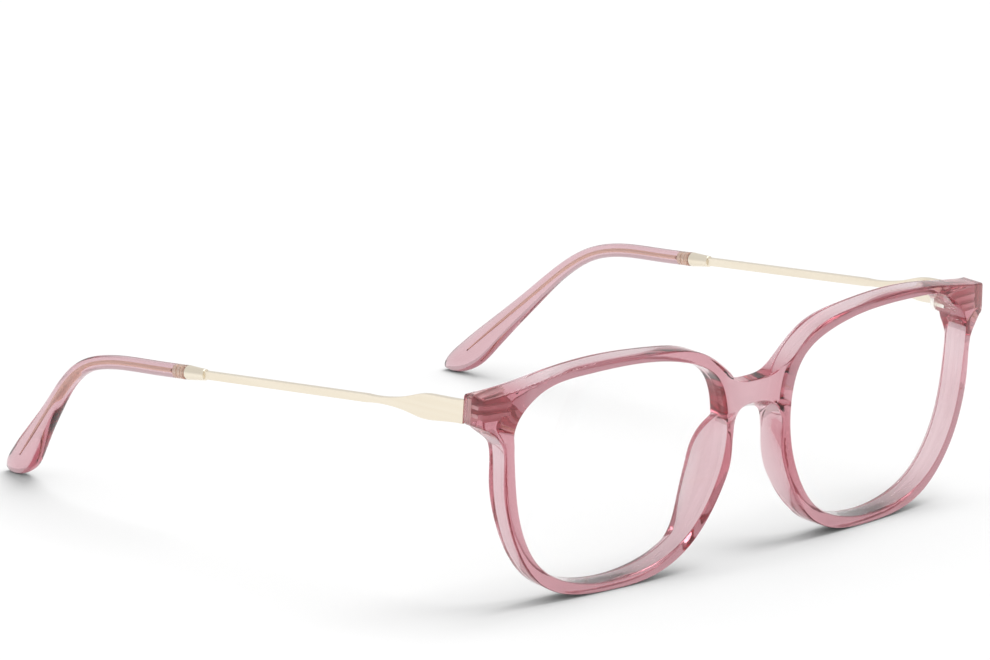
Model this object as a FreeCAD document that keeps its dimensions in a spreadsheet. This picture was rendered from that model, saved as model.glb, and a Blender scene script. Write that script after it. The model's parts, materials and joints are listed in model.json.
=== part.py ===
import FreeCAD, Part
import math
import os

from FreeCAD import Placement, Rotation, Vector

# Blue light glasses with an acetate front and slim metal temples, as a parametric FreeCAD document.
#
# Right-hand pieces are drawn, left-hand ones are mirrored. Millimetres, +Z up, the front faces -Y and
# the temples run towards +Y. The glasses stand on their rims and on the ends of their temple tips, and
# the origin is under the middle of the footprint.
#
# Two drawing frames are used: the face frame, which is the front before it is tilted (x across, y from
# the front surface backwards, z up from the middle of the lenses), and the level frame of the temples
# (the same origin, but y and z level with the floor).

SIZES = {
    # the front
    "lens_width": (51.0, "boxed width of a lens opening"),
    "lens_height": (40.0, "boxed height of a lens opening"),
    "bridge_gap": (17.0, "distance between the two lens openings"),
    "rim_upper": (1.6, "rim above the lens"),
    "rim_lower": (1.9, "rim below the lens"),
    "rim_outer": (2.0, "rim beside the temple"),
    "rim_nasal": (3.3, "rim beside the nose"),
    "sheet_depth": (4.2, "depth of the acetate sheet"),
    "face_radius": (502.0, "horizontal curve of the front"),
    "dome_radius": (380.0, "vertical curve of the front"),
    "sweep_radius": (32.0, "curve that turns the end pieces back"),
    "sweep_start": (57.5, "where that curve starts, from the middle"),
    "front_half_width": (65.7, "middle to the outside of an end piece"),
    "end_block_back": (10.6, "back face of the end pieces, from the front surface"),
    "end_top": (18.1, "top of the end piece at its outside"),
    "end_bottom": (12.7, "bottom of the end piece at its outside"),
    "corner_radius": (0.8, "corner of the end piece, seen from the front"),
    "bridge_top": (11.6, "top of the bridge in the middle"),
    "bridge_under": (5.7, "underside of the bridge in the middle"),
    "dip_depth": (1.3, "hollow in the front of the bridge"),
    "dip_low": (4.8, "half the width of that hollow at the middle of the lenses"),
    "dip_high": (9.3, "half the width of that hollow above the bridge"),
    "dip_top": (13.5, "top of that hollow, above the middle of the lenses"),
    "face_tilt": (3.5, "backwards slope of the front, in degrees"),
    # the lenses
    "lens_radius": (240.0, "front curve of a lens"),
    "lens_thickness": (1.9, "thickness of a lens"),
    "lens_seat": (1.9, "middle of the lens groove, from the front surface"),
    "groove_depth": (0.5, "depth of the lens groove"),
    "groove_gap": (0.04, "gap between lens and groove"),
    # the hinges
    "hinge_x": (61.3, "hinge axis, from the middle"),
    "hinge_height": (14.9, "middle of the hinge, above the middle of the lenses"),
    "knuckle_radius": (1.4, "outside of the hinge barrel"),
    "knuckle_height": (1.1, "height of one knuckle"),
    "knuckle_gap": (0.05, "gap between two knuckles"),
    "barrel_gap": (0.25, "gap between barrel and acetate"),
    "plate_depth": (0.9, "depth of the heat-sunk hinge plate"),
    "plate_height": (4.2, "height of the hinge plate"),
    "plate_length": (7.4, "length of the hinge plate"),
    "prong_depth": (1.5, "how far the anchor ribs stand into the acetate"),
    "prong_height": (0.7, "height of one anchor rib"),
    "prong_pitch": (1.6, "distance between the two anchor ribs"),
    "screw_radius": (0.6, "shank of the hinge screw"),
    "screw_gap": (0.03, "radial gap between screw and knuckles"),
    "screw_head_radius": (1.0, "head of the hinge screw"),
    "screw_head_height": (0.5, "height of the screw head"),
    "leaf_length": (9.0, "length of the flange on the temple"),
    "leaf_thickness": (0.9, "thickness of the flange on the temple"),
    # the temples
    "stop_gap": (0.15, "gap between open temple and end piece"),
    "temple_slope": (4.75, "downward slope of the temple, in degrees"),
    "temple_flare": (0.9, "outward slope of the temple, in degrees"),
    "temple_height": (15.3, "height of the temple at the hinge, above the middle of the lenses"),
    "paddle_height": (4.4, "height of the paddle at the hinge"),
    "paddle_length": (15.0, "length of the paddle"),
    "metal_thickness": (1.1, "thickness of the temple metal"),
    "bar_height": (1.45, "height of the slim bar"),
    "bar_end": (75.3, "where the bar meets the ferrule"),
    "ferrule_length": (4.6, "length of the ferrule"),
    "ferrule_small_radius": (0.95, "ferrule radius at the bar"),
    "ferrule_large_radius": (1.35, "ferrule radius at the acetate tip"),
    "wire_radius": (0.65, "core wire in the acetate tip"),
    "bend_at": (107.75, "corner of the ear bend, from the front surface"),
    "bend_radius": (32.0, "radius of the ear bend"),
    "drop_angle": (42.6, "downward slope behind the ear, in degrees"),
    "drop_inward": (17.0, "inward slope behind the ear, in degrees, seen from above"),
    "drop_length": (42.7, "ear bend to the end of the acetate tip"),
    "wire_short": (6.5, "acetate beyond the end of the core wire"),
    "tip_thickness": (3.0, "thickness of the flat end of the tip"),
    "tip_start_size": (2.6, "height and width of the tip at the ferrule"),
    "tip_width": (6.2, "widest part of the tip"),
    "tip_squareness": (2.9, "how square the tip's section is, where 2 is an ellipse"),
    "collar_length": (3.0, "ribbed collar on the core wire"),
    "collar_radius": (1.0, "outside of the ribbed collar"),
    "fit_gap": (0.03, "gap round a part that is pressed in"),
    # the nose pads
    "pad_depth": (4.3, "how far a nose pad stands out behind the rim"),
    "pad_root": (0.8, "how deep a nose pad is drawn into the rim, before it is cut to the sheet"),
    "pad_width": (2.9, "width of a nose pad"),
    "pad_splay": (10.0, "how far a nose pad opens towards the face, in degrees"),
    "pad_squareness": (2.4, "how square a nose pad's section is, where 2 is an ellipse"),
}

doc = FreeCAD.newDocument("blue_light_glasses")
sheet = doc.addObject("Spreadsheet::Sheet", "sizes")


def fill_sheet():
    """Write every driving dimension into the sheet, with its meaning beside it."""
    for row, (alias, (value, meaning)) in enumerate(SIZES.items(), start=1):
        sheet.set(f"A{row}", str(value))
        sheet.setAlias(f"A{row}", alias)
        sheet.set(f"B{row}", meaning)
    doc.recompute()


def size(alias):
    """The value of one driving dimension."""
    return float(sheet.get(alias))


fill_sheet()
LENS_X = (size("lens_width") + size("bridge_gap")) / 2

# A lens opening, as shares of its half width and half height, from the nasal side over the top.
LENS_SHAPE = (
    (-1.0, 0.315), (-0.906, 0.68), (-0.569, 0.91), (-0.063, 0.995), (0.384, 0.985),
    (0.804, 0.875), (0.973, 0.66), (0.996, 0.25), (0.918, -0.285), (0.69, -0.75),
    (0.271, -0.98), (-0.259, -0.97), (-0.624, -0.785), (-0.878, -0.395),
)


def add(kind, name, label=None, **properties):
    """Add an object to the document and set its properties."""
    made = doc.addObject(kind, name)
    if label:
        made.Label = label
    for key, value in properties.items():
        setattr(made, key, value)
    return made


def bind(made, **expressions):
    """Bind properties to cells of the sheet; a double underscore stands for a dot."""
    for path, expression in expressions.items():
        made.setExpression(path.replace("__", "."), expression)
    return made


def sketch(name, plane, edges, offset=0.0):
    """A sketch of ready edges on a principal plane, moved along the plane's normal."""
    made = doc.addObject("Sketcher::SketchObject", name)
    turns = {
        "XY": Rotation(),
        "XZ": Rotation(Vector(1, 0, 0), 90),
        "YZ": Rotation(Vector(1, 1, 1), 120),
    }
    turn = turns[plane]
    made.Placement = Placement(turn.multVec(Vector(0, 0, offset)), turn)
    for edge in edges:
        made.addGeometry(edge, False)
    return made


def flat(points):
    """Turn pairs of numbers into points of a sketch."""
    return [Vector(first, second, 0) for first, second in points]


def spline(points, closed=False, tangents=None):
    """A smooth curve through the points."""
    curve = Part.BSplineCurve()
    options = {"Points": flat(points), "PeriodicFlag": closed}
    if tangents:
        options["InitialTangent"], options["FinalTangent"] = flat(tangents)
    curve.interpolate(**options)
    return curve


def polygon(points):
    """Straight edges that close on themselves."""
    corners = flat(points)
    return [Part.LineSegment(a, b) for a, b in zip(corners, corners[1:] + corners[:1])]


def extrusion(name, profile, length, both_ways=True):
    """A profile pushed along its own normal."""
    made = add("Part::Extrusion", name, Base=profile, DirMode="Normal", Solid=True, Symmetric=both_ways)
    made.setExpression("LengthFwd", length)
    return made


def loft(name, sections):
    """A straight-walled solid between sections."""
    return add("Part::Loft", name, Sections=sections, Solid=True, Ruled=True)


# ---------------------------------------------------------------- the front in the face frame
def lens_outline(grown=0.0, narrowed=1.0):
    """The closed outline of a lens opening, grown outwards, and narrowed towards the middle plane."""
    half_width = size("lens_width") / 2 + grown
    half_height = size("lens_height") / 2 + grown
    return spline([((LENS_X + fx * half_width) * narrowed, fz * half_height) for fx, fz in LENS_SHAPE],
                  closed=True)


def narrowing(depth):
    """How much closer to the middle plane a wall lies at this depth, square to the curved face."""
    return 1 - depth / size("face_radius")


def rim_point(fx, fz, rim_x, rim_z):
    """A point of the outside of the rim, beside a point of the lens shape."""
    return (LENS_X + fx * (size("lens_width") / 2 + rim_x), fz * (size("lens_height") / 2 + rim_z))


def front_outline(narrowed=1.0):
    """The outside of the front: the upper line, the end pieces and the lower line."""
    upper_rim, lower_rim = size("rim_upper"), size("rim_lower")
    outer_rim, nasal_rim = size("rim_outer"), size("rim_nasal")
    edge, top, bottom = size("front_half_width") / narrowed, size("end_top"), size("end_bottom")
    corner = size("corner_radius")
    inset = corner * (1 - math.sqrt(0.5))

    upper = [(0, size("bridge_top")), (4.3, size("bridge_top") + 0.5),
             rim_point(-0.89, 0.685, nasal_rim, upper_rim), rim_point(-0.66, 0.885, nasal_rim, upper_rim),
             rim_point(-0.32, 0.972, nasal_rim, upper_rim), rim_point(0.2, 0.998, outer_rim, upper_rim),
             rim_point(0.72, 0.93, outer_rim, upper_rim), (edge - 5.4, top + 0.85),
             (edge - corner, top)]
    lower = [(edge - corner, bottom), (edge - 2.3, bottom - 1.7), rim_point(1.01, 0.42, outer_rim, 0),
             rim_point(0.995, 0.09, outer_rim, 0), rim_point(0.955, -0.2, outer_rim, lower_rim),
             rim_point(0.855, -0.5, outer_rim, lower_rim), rim_point(0.58, -0.868, outer_rim, lower_rim),
             rim_point(0.0, -1.0, outer_rim, lower_rim), rim_point(-0.36, -0.955, nasal_rim, lower_rim),
             rim_point(-0.62, -0.79, nasal_rim, lower_rim), rim_point(-0.84, -0.44, nasal_rim, lower_rim),
             rim_point(-0.93, -0.19, nasal_rim, lower_rim), rim_point(-0.985, 0.08, nasal_rim, 0),
             (4.2, size("bridge_under") - 0.9), (0, size("bridge_under"))]

    def both_sides(half):
        whole = [(-x, z) for x, z in reversed(half[1:])] + half if half[0][0] == 0 else \
            half + [(-x, z) for x, z in reversed(half[:-1])]
        return [(x * narrowed, z) for x, z in whole]

    def corner_arc(side, z, middle_z, end_z):
        points = [(side * (edge - corner), z), (side * (edge - inset), middle_z), (side * edge, end_z)]
        return Part.Arc(*flat([(x * narrowed, height) for x, height in points]))

    edges = [spline(both_sides(upper)), spline(both_sides(lower))]
    for side in (-1, 1):
        edges.append(corner_arc(side, top, top - inset, top - corner))
        edges.append(corner_arc(side, bottom, bottom + inset, bottom + corner))
        ends = [(side * edge * narrowed, bottom + corner), (side * edge * narrowed, top - corner)]
        edges.append(Part.LineSegment(*flat(ends)))
    return edges


def face_depth(x):
    """How far the middle of the front surface lies back at this distance from the middle."""
    radius = size("face_radius")
    return radius - math.sqrt(radius * radius - x * x)


def front_blank():
    """The curved acetate sheet with a thicker block at each end."""
    depth, dome, reach = size("sheet_depth"), size("dome_radius"), 27.0
    radius, turn, start = size("face_radius"), size("sweep_radius"), size("sweep_start")

    def sag(z, shift):
        return z * z / (2 * dome) + shift

    front_arc = Part.Arc(*flat([(sag(reach, 0), -reach), (0, 0), (sag(reach, 0), reach)]))
    back_arc = Part.Arc(*flat([(sag(reach, depth), -reach), (depth, 0), (sag(reach, depth), reach)]))
    lids = [Part.LineSegment(*flat([(sag(reach, 0), z), (sag(reach, depth), z)])) for z in (-reach, reach)]
    section = sketch("sheet_section", "YZ", [front_arc, back_arc] + lids)

    lean = math.asin(start / radius)
    centre = (start - turn * math.sin(lean), face_depth(start) + turn * math.cos(lean))
    middle = Part.Arc(*flat([(0, 0), (start / 2, face_depth(start / 2)), (start, face_depth(start))]))
    end = Part.Arc(*flat([(centre[0] + turn * math.sin(a), centre[1] - turn * math.cos(a))
                          for a in (lean, lean + 0.22, lean + 0.44)]))
    spine = sketch("sheet_path", "XY", [middle, end])
    doc.recompute()
    half_sheet = add("Part::Sweep", "half_sheet", Sections=[section], Solid=True, Frenet=False,
                     Spine=(spine, ["Edge1", "Edge2"]))
    other_half = add("Part::Mirroring", "other_half", Source=half_sheet, Normal=Vector(1, 0, 0))

    back, edge = size("end_block_back"), size("front_half_width")
    foot = size("end_bottom") - 4.0
    profile = sketch("end_ramp_profile", "YZ", polygon([(-4, foot), (back - 3.2, foot), (back, foot + 3.4),
                                                         (back + 1, foot + 3.4), (back + 1, 30), (-4, 30)]))
    ramp = extrusion("end_ramp", profile, "200")
    blocks = []
    inner = start - 5.5
    for side, name in ((-1, "left"), (1, "right")):
        plan = [(inner, face_depth(inner) + depth - 0.6), (inner + 4.5, back), (edge + 1.5, back),
                (edge + 1.5, face_depth(edge) + 4.2), (start, face_depth(start) + 2.2)]
        block = sketch(f"end_block_plan_{name}", "XY", polygon([(side * x, y) for x, y in plan]))
        block.Placement.Base.z = foot
        whole = extrusion(f"end_block_{name}", block, "20", both_ways=False)
        blocks.append(add("Part::MultiCommon", f"end_piece_{name}", Shapes=[whole, ramp]))
    return add("Part::MultiFuse", "front_blank", Shapes=[half_sheet, other_half] + blocks)


def front_prism():
    """The outline of the front, cut through the sheet square to its curve."""
    near, far = -4.0, 14.0
    sections = [sketch(f"front_outline_{index}", "XZ", front_outline(narrowing(depth)), -depth)
                for index, depth in enumerate((near, far))]
    return loft("front_prism", sections)


def opening_prism():
    """A lens opening, cut through the sheet square to its curve."""
    near, far = -4.0, 14.0
    sections = [sketch(f"lens_opening_{index}", "XZ", [lens_outline(0, narrowing(depth))], -depth)
                for index, depth in enumerate((near, far))]
    return loft("lens_cut", sections)


def bridge_dip():
    """The hollow across the front of the bridge, wider towards the top."""
    sections = []
    for name, half, height in (("low", size("dip_low"), 0.0), ("high", size("dip_high"), size("dip_top"))):
        depth = size("dip_depth") + height * height / 2 / size("dome_radius")
        ends = depth - size("dip_depth") + face_depth(half)
        edges = [Part.Arc(*flat([(-half, ends), (0, depth), (half, ends)]))]
        corners = flat([(half, ends), (half, -4), (-half, -4), (-half, ends)])
        edges += [Part.LineSegment(a, b) for a, b in zip(corners, corners[1:])]
        sections.append(sketch(f"dip_{name}", "XY", edges, height))
    return loft("bridge_dip", sections)


def mirrored(source, name, label=None):
    """The left-hand twin of a right-hand piece."""
    return add("Part::Mirroring", name, label, Source=source, Normal=Vector(1, 0, 0), Base=Vector(0, 0, 0))


def body(name, label, placement=None):
    """An empty PartDesign body."""
    made = add("PartDesign::Body", name, label)
    if placement:
        made.Placement = placement
    return made


def plane_of(owner, role):
    """One of a body's own origin planes."""
    return next(part for part in owner.Origin.OriginFeatures if part.Role == role)


def body_sketch(owner, name, role, edges, offset=None):
    """A sketch on a body's own origin plane; the offset along its normal is an expression."""
    made = owner.newObject("Sketcher::SketchObject", name)
    made.AttachmentSupport = (plane_of(owner, role), "")
    made.MapMode = "FlatFace"
    for edge in edges:
        made.addGeometry(edge, False)
    if offset:
        made.setExpression("AttachmentOffset.Base.z", offset)
    return made


def pad(owner, name, profile, length, midplane=False, reverse=False):
    """A pad whose length is an expression."""
    made = owner.newObject("PartDesign::Pad", name)
    made.Profile = profile
    made.Midplane = midplane
    made.Reversed = reverse
    made.setExpression("Length", length)
    return made


def pocket(owner, name, profile, both_ways=True):
    """A cut right through a body."""
    made = owner.newObject("PartDesign::Pocket", name)
    made.Profile = profile
    made.Type = "ThroughAll"
    made.Midplane = both_ways
    return made


def circle(radius, x=0.0, y=0.0):
    """A full circle."""
    return Part.Circle(Vector(x, y, 0), Vector(0, 0, 1), radius)


# ---------------------------------------------------------------- the lenses in the face frame
def lens_blank(name, grown=0.0):
    """The turned lens blank: a shallow bowl between two spheres."""
    radius, thickness = size("lens_radius"), size("lens_thickness") + 2 * grown
    reach = size("lens_width") * 0.75
    back_radius = radius - thickness
    sag = radius - math.sqrt(radius * radius - reach * reach)
    back_sag = back_radius - math.sqrt(back_radius * back_radius - reach * reach)
    owner = body(name, name)
    turn = Rotation(Vector(0, 0, 1), math.degrees(math.asin(LENS_X / size("face_radius"))))
    seat = size("lens_seat") + face_depth(LENS_X) - thickness / 2 - size("lens_width") ** 2 / 16 / radius
    owner.Placement = Placement(Vector(LENS_X, seat, 0), turn)
    front = Part.Arc(*flat([(0, 0), (reach * 0.5, reach * reach * 0.125 / radius), (reach, sag)]))
    middle_back = back_radius - math.sqrt(back_radius * back_radius - reach * reach / 4)
    back = Part.Arc(*flat([(0, thickness), (reach * 0.5, thickness + middle_back),
                           (reach, thickness + back_sag)]))
    rim = Part.LineSegment(*flat([(reach, sag), (reach, thickness + back_sag)]))
    axis = Part.LineSegment(*flat([(0, 0), (0, thickness)]))
    profile = body_sketch(owner, name + "_profile", "XY_Plane", [front, rim, back, axis])
    turned = owner.newObject("PartDesign::Revolution", name + "_turned")
    turned.Profile = profile
    turned.ReferenceAxis = (profile, ["V_Axis"])
    turned.Angle = 360
    return owner


def lens_plane_outline(name, grown, depth):
    """A lens outline in a plane of the turned lens, this far behind the front surface."""
    radius, start = size("face_radius"), face_depth(LENS_X)
    turn = math.asin(LENS_X / radius)
    sine, cosine = math.sin(turn), math.cos(turn)
    points = []
    for fx, fz in LENS_SHAPE:
        x = LENS_X + fx * (size("lens_width") / 2 + grown)
        across = x * (1 - (start + depth * cosine) / radius) - LENS_X + depth * sine
        points.append((across / (cosine + x * sine / radius), fz * (size("lens_height") / 2 + grown)))
    made = sketch(name, "XZ", [spline(points, closed=True)])
    plane = Rotation(Vector(0, 0, 1), math.degrees(turn)).multiply(Rotation(Vector(1, 0, 0), 90))
    made.Placement = Placement(Vector(LENS_X - depth * sine, start + depth * cosine, 0), plane)
    return made


def bevelled_prism(name, grown):
    """The edge of the lens: widest in the groove's bottom, narrower to the front and the back."""
    seat = size("lens_seat")
    reach = 2.4
    inner, outer = grown - 0.15, grown + size("groove_depth")
    halves = []
    for side, ending in ((-1, "front"), (1, "back")):
        sections = [lens_plane_outline(f"{name}_{ending}_rim", inner, seat + side * reach),
                    lens_plane_outline(f"{name}_{ending}_ridge", outer, seat)]
        halves.append(loft(f"{name}_{ending}", sections))
    return add("Part::MultiFuse", name, Shapes=halves)


def lens(name, label=None, grown=0.0):
    """A lens edged to the shape of the rim."""
    blank = lens_blank(name + "_blank", max(grown, 0))
    edge = bevelled_prism(name + "_edge", grown)
    return add("Part::MultiCommon", name, label, Shapes=[blank, edge])


# ---------------------------------------------------------------- the hinges in the face frame
AXIS_Y = size("end_block_back") + size("barrel_gap") + size("knuckle_radius")
PITCH = size("knuckle_height") + size("knuckle_gap")


def plate_outline(grown=0.0):
    """The hinge plate from behind: square outside, round towards the lens."""
    half = size("plate_height") / 2 + grown
    outer = size("hinge_x") + 2.6 + grown
    inner = outer - size("plate_length") + half - grown
    low, high = size("hinge_height") - half, size("hinge_height") + half
    middle = size("hinge_height")
    return [Part.LineSegment(*flat([(inner, low), (outer, low)])),
            Part.LineSegment(*flat([(outer, low), (outer, high)])),
            Part.LineSegment(*flat([(outer, high), (inner, high)])),
            Part.Arc(*flat([(inner, high), (inner - half, middle), (inner, low)]))]


def rib_outline(centre, grown=0.0):
    """One anchor rib seen from behind."""
    half = size("prong_height") / 2 + grown
    left = size("hinge_x") - 3.6 - grown
    right = size("hinge_x") + 2.2 + grown
    return polygon([(left, centre - half), (right, centre - half), (right, centre + half),
                    (left, centre + half)])


def plate_solids(owner, grown=0.0):
    """The plate and its two anchor ribs, all set into the back of the end piece."""
    plate = body_sketch(owner, owner.Name + "_plate", "XZ_Plane", plate_outline(grown),
                        "-sizes.end_block_back")
    pad(owner, owner.Name + "_plate_pad", plate, f"sizes.plate_depth + {grown}")
    for index, side in enumerate((-1, 1)):
        centre = size("hinge_height") + side * size("prong_pitch") / 2
        rib = body_sketch(owner, f"{owner.Name}_rib_{index}", "XZ_Plane", rib_outline(centre, grown),
                          "-sizes.end_block_back")
        pad(owner, f"{owner.Name}_rib_pad_{index}", rib, f"sizes.plate_depth + sizes.prong_depth + {grown}")


def barrel_outline(root_y):
    """A knuckle seen from above: a round barrel with a root of the same width."""
    radius, x = size("knuckle_radius"), size("hinge_x")
    return [Part.LineSegment(*flat([(x - radius, root_y), (x + radius, root_y)])),
            Part.LineSegment(*flat([(x + radius, root_y), (x + radius, AXIS_Y)])),
            Part.Arc(*flat([(x + radius, AXIS_Y), (x, AXIS_Y + radius), (x - radius, AXIS_Y)])),
            Part.LineSegment(*flat([(x - radius, AXIS_Y), (x - radius, root_y)]))]


def front_hinge():
    """The front half of the hinge: plate, anchor ribs and two knuckles."""
    owner = body("front_plate", "hinge_front_plate_right")
    plate_solids(owner)
    for index, side in enumerate((-1, 1)):
        knuckle = body_sketch(owner, f"front_knuckle_{index}", "XY_Plane",
                              barrel_outline(size("end_block_back") - size("plate_depth") / 2),
                              f"sizes.hinge_height + ({side}) * (sizes.knuckle_height + sizes.knuckle_gap)")
        pad(owner, f"front_knuckle_pad_{index}", knuckle, "sizes.knuckle_height", midplane=True)
    bore = body_sketch(owner, "front_bore", "XY_Plane",
                       [circle(size("screw_radius") + size("screw_gap"), size("hinge_x"), AXIS_Y)])
    doc.recompute()
    pocket(owner, "front_bore_cut", bore)
    return owner


def temple_hinge():
    """The temple half of the hinge: one knuckle on an arm with a flange along the paddle."""
    owner = body("temple_leaf", "hinge_temple_leaf_right")
    inner_x = PADDLE_INNER
    radius, x = size("knuckle_radius"), size("hinge_x")
    arm = [Part.LineSegment(*flat([(x, AXIS_Y - radius), (inner_x, AXIS_Y - radius)])),
           Part.LineSegment(*flat([(inner_x, AXIS_Y - radius), (inner_x, AXIS_Y + radius)])),
           Part.LineSegment(*flat([(inner_x, AXIS_Y + radius), (x, AXIS_Y + radius)])),
           Part.Arc(*flat([(x, AXIS_Y + radius), (x - radius, AXIS_Y), (x, AXIS_Y - radius)]))]
    knuckle = body_sketch(owner, "temple_knuckle", "XY_Plane", arm, "sizes.hinge_height")
    pad(owner, "temple_knuckle_pad", knuckle, "sizes.knuckle_height", midplane=True)
    half, start = size("plate_height") * 0.36, AXIS_Y - radius
    length, fall = size("leaf_length"), math.tan(math.radians(size("temple_slope") + size("face_tilt")))
    middle = size("hinge_height")
    far = start + length
    drop = fall * length
    outline = [Part.LineSegment(*flat([(start, middle - half), (start, middle + half)])),
               Part.LineSegment(*flat([(start, middle + half), (far, middle + half - drop)])),
               Part.Arc(*flat([(far, middle + half - drop), (far + half, middle - drop - fall * half),
                               (far, middle - half - drop)])),
               Part.LineSegment(*flat([(far, middle - half - drop), (start, middle - half)]))]
    flange = body_sketch(owner, "temple_flange", "YZ_Plane", outline)
    flange.AttachmentOffset = Placement(Vector(0, 0, inner_x), Rotation())
    pad(owner, "temple_flange_pad", flange, "sizes.leaf_thickness", reverse=True)
    bore = body_sketch(owner, "temple_bore", "XY_Plane",
                       [circle(size("screw_radius") + size("screw_gap"), x, AXIS_Y)])
    doc.recompute()
    pocket(owner, "temple_bore_cut", bore)
    return owner


def hinge_screw():
    """The hinge screw: a shank through the three knuckles under a slotted round head."""
    owner = body("screw", "hinge_screw_right")
    owner.Placement = Placement(Vector(size("hinge_x"), AXIS_Y, size("hinge_height")), Rotation())
    half = PITCH + size("knuckle_height") / 2
    shank, head = size("screw_radius"), size("screw_head_radius")
    top = half + size("screw_head_height")
    dome = Part.Arc(*flat([(head, half + 0.2), (head * 0.75, top - 0.07), (0, top)]))
    points = [(0, top), (0, -half), (shank, -half), (shank, half), (head, half), (head, half + 0.2)]
    sides = [Part.LineSegment(*flat(pair)) for pair in zip(points, points[1:])]
    profile = body_sketch(owner, "screw_profile", "XZ_Plane", sides + [dome])
    turned = owner.newObject("PartDesign::Revolution", "screw_turned")
    turned.Profile = profile
    turned.ReferenceAxis = (profile, ["V_Axis"])
    turned.Angle = 360
    doc.recompute()
    slot = body_sketch(owner, "screw_slot", "XZ_Plane",
                       polygon([(-0.15, top - 0.25), (0.15, top - 0.25), (0.15, top + 0.3), (-0.15, top + 0.3)]))
    pocket(owner, "screw_slot_cut", slot)
    return owner


# ---------------------------------------------------------------- the temples in the level frame
def unit(slope, sideways):
    """A direction from its downward slope and its outward turn, both in degrees."""
    down, out = math.radians(slope), math.radians(sideways)
    return Vector(math.cos(down) * math.sin(out), math.cos(down) * math.cos(out), -math.sin(down))


RUN = unit(size("temple_slope"), size("temple_flare"))
DROP = unit(size("drop_angle"), -size("drop_inward"))
TILT = math.radians(size("face_tilt"))
PADDLE_START = size("end_block_back") * math.cos(TILT) - size("temple_height") * math.sin(TILT) \
    + size("stop_gap")
PADDLE_X = size("front_half_width") - size("metal_thickness") / 2
PADDLE_INNER = PADDLE_X - size("metal_thickness") / 2
START = Vector(PADDLE_X, PADDLE_START, size("temple_height"))


def along(y):
    """The point of the straight run at this depth behind the front surface."""
    return START + RUN * ((y - START.y) / RUN.y)


CORNER = along(size("bend_at"))
JOINT = along(size("bar_end") + size("ferrule_length") * 0.55)
TIP_END = CORNER + DROP * size("drop_length")


def side_view(point):
    """A point seen from the side, as sketch coordinates (y, z)."""
    return (point.y, point.z)


def band(points, halves):
    """The outline of a band along some points, with half its width at each, in a sketch."""
    upper, lower = [], []
    for index, (point, half) in enumerate(zip(points, halves)):
        before = points[max(index - 1, 0)]
        after = points[min(index + 1, len(points) - 1)]
        dx, dy = after[0] - before[0], after[1] - before[1]
        span = math.hypot(dx, dy)
        above, below = half if isinstance(half, tuple) else (half, half)
        upper.append((point[0] - dy / span * above, point[1] + dx / span * above))
        lower.append((point[0] + dy / span * below, point[1] - dx / span * below))
    return upper, lower


def bend_path():
    """The centre line of the temple as a wire: the straight run, the ear bend and the drop."""
    turn = math.acos(RUN.dot(DROP))
    cut = size("bend_radius") * math.tan(turn / 2)
    first, last = CORNER - RUN * cut, CORNER + DROP * cut
    inward = (DROP - RUN).normalize()
    middle = CORNER + inward * (size("bend_radius") * (1 / math.cos(turn / 2) - 1))
    return first, middle, last


BEND_FIRST, BEND_MIDDLE, BEND_LAST = bend_path()


def round_run(name, radius, start, finish, label=None):
    """A round bar along the centre line, through the ear bend."""
    path = Part.Wire([Part.LineSegment(start, BEND_FIRST).toShape(),
                      Part.Arc(BEND_FIRST, BEND_MIDDLE, BEND_LAST).toShape(),
                      Part.LineSegment(BEND_LAST, finish).toShape()])
    ring = Part.Wire(Part.Circle(start, RUN, radius).toShape())
    made = add("Part::Feature", name, label)
    made.Shape = path.makePipeShell([ring], True, False)
    return made


def temple_arm():
    """The metal temple: a flat paddle that narrows to a slim bar, and the core wire behind it."""
    tall, slim = size("paddle_height") / 2, size("bar_height") / 2
    length, y0 = size("paddle_length"), START.y
    stations = [(0, tall), (length * 0.35, tall), (length * 0.7, tall * 0.98), (length * 0.95, tall * 0.6),
                (length * 1.2, slim * 1.05), (length * 1.6, slim)]
    points = [side_view(along(y0 + step)) for step, _ in stations]
    upper, lower = band(points, [half for _, half in stations])
    lean = math.tan(TILT) * tall
    upper[0] = (START.y - lean, START.z + tall)
    lower[0] = (START.y + lean, START.z - tall)
    end = side_view(JOINT)
    slope = math.radians(size("temple_slope"))
    end_up = (end[0] + math.sin(slope) * slim, end[1] + math.cos(slope) * slim)
    end_down = (end[0] - math.sin(slope) * slim, end[1] - math.cos(slope) * slim)
    edges = [spline(upper), spline(lower),
             Part.LineSegment(*flat([upper[-1], end_up])), Part.LineSegment(*flat([end_up, end_down])),
             Part.LineSegment(*flat([end_down, lower[-1]])), Part.LineSegment(*flat([lower[0], upper[0]]))]
    side = sketch("temple_side", "YZ", edges)
    slab = extrusion("temple_slab", side, "200")
    half = size("metal_thickness") / 2
    near, far = along(START.y - 1), along(size("bar_end") + 8)
    plan = sketch("temple_plan", "XY", polygon([(near.x - half, near.y), (near.x + half, near.y),
                                                 (far.x + half, far.y), (far.x - half, far.y)]))
    strip = extrusion("temple_strip", plan, "100")
    return add("Part::MultiCommon", "temple_arm", "temple_arm_right", Shapes=[slab, strip])


def on_run(name, label, y, profile):
    """A piece turned round the straight run, starting at this depth."""
    owner = body(name, label)
    owner.Placement = Placement(along(y), Rotation(Vector(0, 1, 0), RUN))
    drawn = body_sketch(owner, name + "_profile", "XY_Plane", profile)
    turned = owner.newObject("PartDesign::Revolution", name + "_turned")
    turned.Profile = drawn
    turned.ReferenceAxis = (drawn, ["V_Axis"])
    turned.Angle = 360
    return owner


def ring_profile(points, bore):
    """A closed profile of a turned piece with a bore: points are (radius, along)."""
    inner = [(bore, points[-1][1]), (bore, points[0][1])]
    return polygon(list(points) + inner)


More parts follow.
